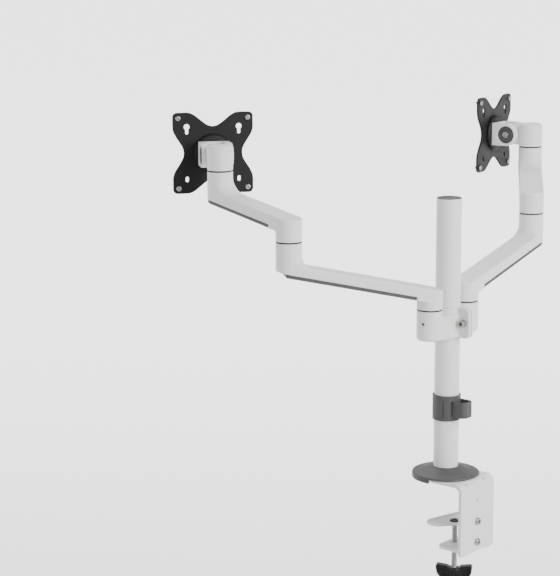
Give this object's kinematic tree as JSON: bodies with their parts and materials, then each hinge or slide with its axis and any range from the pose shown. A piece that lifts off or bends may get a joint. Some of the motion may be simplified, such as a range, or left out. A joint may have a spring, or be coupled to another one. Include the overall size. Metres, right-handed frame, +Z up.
{
  "type": "dual monitor arm",
  "caption": "Desk-clamped post with two folding swing arms on a shared collar, each ending in a tilting, turning screen plate, with a height-set cable clip.",
  "frame": {"origin": "on the post's axis, in the plane of the desk top, which is the underside of the clamp bracket's top plate", "axes": "+Z up along the post; +Y from the user's side towards the desk edge that the clamp grips; +X along that edge towards the left hub"},
  "size_m": [0.6196, 0.4178, 0.657],
  "materials": {
    "white_powder_coat": "satin white powder coat",
    "grey_plastic": "fine satin",
    "dark_washer_plastic": "plain",
    "black_powder_coat": "fine matt powder coat",
    "black_plastic": "fine satin",
    "zinc_steel": "bright zinc",
    "dark_steel": "black oxide"
  },
  "bodies": {
    "post_stand": {"clamp_bracket": "white_powder_coat", "lower_jaw": "white_powder_coat", "lower_jaw_screw_top": "dark_steel", "lower_jaw_screw_bottom": "dark_steel", "base_flange": "grey_plastic", "post": "white_powder_coat", "post_foot_plug": "zinc_steel", "post_cap": "grey_plastic", "post_bolt": "zinc_steel"},
    "press": {"pressure_plate": "white_powder_coat"},
    "spindle_unit": {"spindle": "zinc_steel", "clamp_handle": "black_plastic", "pressure_plate_screw": "dark_steel"},
    "clip": {"cable_clip": "grey_plastic"},
    "post_clamp": {"post_clamp_left_half": "white_powder_coat", "post_clamp_right_half": "white_powder_coat", "post_clamp_back_bolt": "zinc_steel", "post_clamp_front_bolt": "zinc_steel", "left_hub_grub_screw": "zinc_steel", "right_hub_grub_screw": "zinc_steel", "left_shoulder_washer": "dark_washer_plastic", "right_shoulder_washer": "dark_washer_plastic"},
    "left_lower_arm": {"left_lower_link": "white_powder_coat", "left_lower_link_cable_cover": "grey_plastic", "left_shoulder_pin": "zinc_steel", "left_elbow_grub_screw": "zinc_steel", "left_elbow_washer": "dark_washer_plastic"},
    "left_upper_arm": {"left_upper_link": "white_powder_coat", "left_upper_link_cable_cover": "grey_plastic", "left_elbow_pin": "zinc_steel", "left_swivel_washer": "dark_washer_plastic"},
    "left_head": {"left_swivel_head": "white_powder_coat", "left_swivel_pin": "zinc_steel"},
    "left_fork": {"left_tilt_fork": "white_powder_coat", "left_tilt_bolt": "dark_steel", "left_rotation_disc": "black_powder_coat"},
    "left_plate": {"left_vesa_plate": "black_powder_coat", "left_screen_screw_top_left": "zinc_steel", "left_screen_screw_top_right": "zinc_steel", "left_screen_screw_bottom_left": "zinc_steel", "left_screen_screw_bottom_right": "zinc_steel"},
    "right_lower_arm": {"right_lower_link": "white_powder_coat", "right_lower_link_cable_cover": "grey_plastic", "right_shoulder_pin": "zinc_steel", "right_elbow_grub_screw": "zinc_steel", "right_elbow_washer": "dark_washer_plastic"},
    "right_upper_arm": {"right_upper_link": "white_powder_coat", "right_upper_link_cable_cover": "grey_plastic", "right_elbow_pin": "zinc_steel", "right_swivel_washer": "dark_washer_plastic"},
    "right_head": {"right_swivel_head": "white_powder_coat", "right_swivel_pin": "zinc_steel"},
    "right_fork": {"right_tilt_fork": "white_powder_coat", "right_tilt_bolt": "dark_steel", "right_rotation_disc": "black_powder_coat"},
    "right_plate": {"right_vesa_plate": "black_powder_coat", "right_screen_screw_top_left": "zinc_steel", "right_screen_screw_top_right": "zinc_steel", "right_screen_screw_bottom_left": "zinc_steel", "right_screen_screw_bottom_right": "zinc_steel"}
  },
  "joints": [
    {"name": "clamp_height", "type": "slide", "parent": "post_stand", "child": "post_clamp", "axis": [0, 0, 1], "range_m": [-0.08, 0.14]},
    {"name": "clip_height", "type": "slide", "parent": "post_stand", "child": "clip", "axis": [0, 0, 1], "range_m": [-0.065, 0.08]},
    {"name": "press_travel", "type": "slide", "parent": "post_stand", "child": "press", "axis": [0, 0, 1], "range_m": [-0.025, 0.025]},
    {"name": "spindle_turn", "type": "hinge", "parent": "press", "child": "spindle_unit", "pos_m": [0, 0.017, -0.1], "axis": [0, 0, 1], "range_deg": [-7201, 7201]},
    {"name": "left_shoulder", "type": "hinge", "parent": "post_clamp", "child": "left_lower_arm", "pos_m": [0.0425, 0, 0.2471], "axis": [0, 0, 1], "range_deg": [-75.3, 154.7]},
    {"name": "left_elbow", "type": "hinge", "parent": "left_lower_arm", "child": "left_upper_arm", "pos_m": [0.19315, -0.12507, 0.347], "axis": [0, 0, 1], "range_deg": [-60.4, 179.6]},
    {"name": "left_swivel", "type": "hinge", "parent": "left_upper_arm", "child": "left_head", "pos_m": [0.16915, -0.27162, 0.4295], "axis": [0, 0, 1], "range_deg": [-61, 119]},
    {"name": "left_tilt", "type": "hinge", "parent": "left_head", "child": "left_fork", "pos_m": [0.14901, -0.29712, 0.4475], "axis": [0.7848, -0.6198, 0], "range_deg": [-45, 35]},
    {"name": "left_rotate", "type": "hinge", "parent": "left_fork", "child": "left_plate", "pos_m": [0.14901, -0.29712, 0.4475], "axis": [-0.6198, -0.7848, 0], "range_deg": [-90, 90]},
    {"name": "right_shoulder", "type": "hinge", "parent": "post_clamp", "child": "right_lower_arm", "pos_m": [-0.0425, 0, 0.2471], "axis": [0, 0, 1], "range_deg": [-120.9, 78]},
    {"name": "right_elbow", "type": "hinge", "parent": "right_lower_arm", "child": "right_upper_arm", "pos_m": [-0.23726, -0.02013, 0.347], "axis": [0, 0, 1], "range_deg": [-148.4, 91.6]},
    {"name": "right_swivel", "type": "hinge", "parent": "right_upper_arm", "child": "right_head", "pos_m": [-0.35994, -0.10381, 0.4295], "axis": [0, 0, 1], "range_deg": [-153.9, 26.1]},
    {"name": "right_tilt", "type": "hinge", "parent": "right_head", "child": "right_fork", "pos_m": [-0.3553, -0.13598, 0.4475], "axis": [0.9898, 0.1426, 0], "range_deg": [-45, 35]},
    {"name": "right_rotate", "type": "hinge", "parent": "right_fork", "child": "right_plate", "pos_m": [-0.3553, -0.13598, 0.4475], "axis": [0.1426, -0.9898, 0], "range_deg": [-90, 90]}
  ],
  "couplings": [
    {"joint": "spindle_turn", "follows": "press_travel", "rad_per_m": 5026.5}
  ]
}
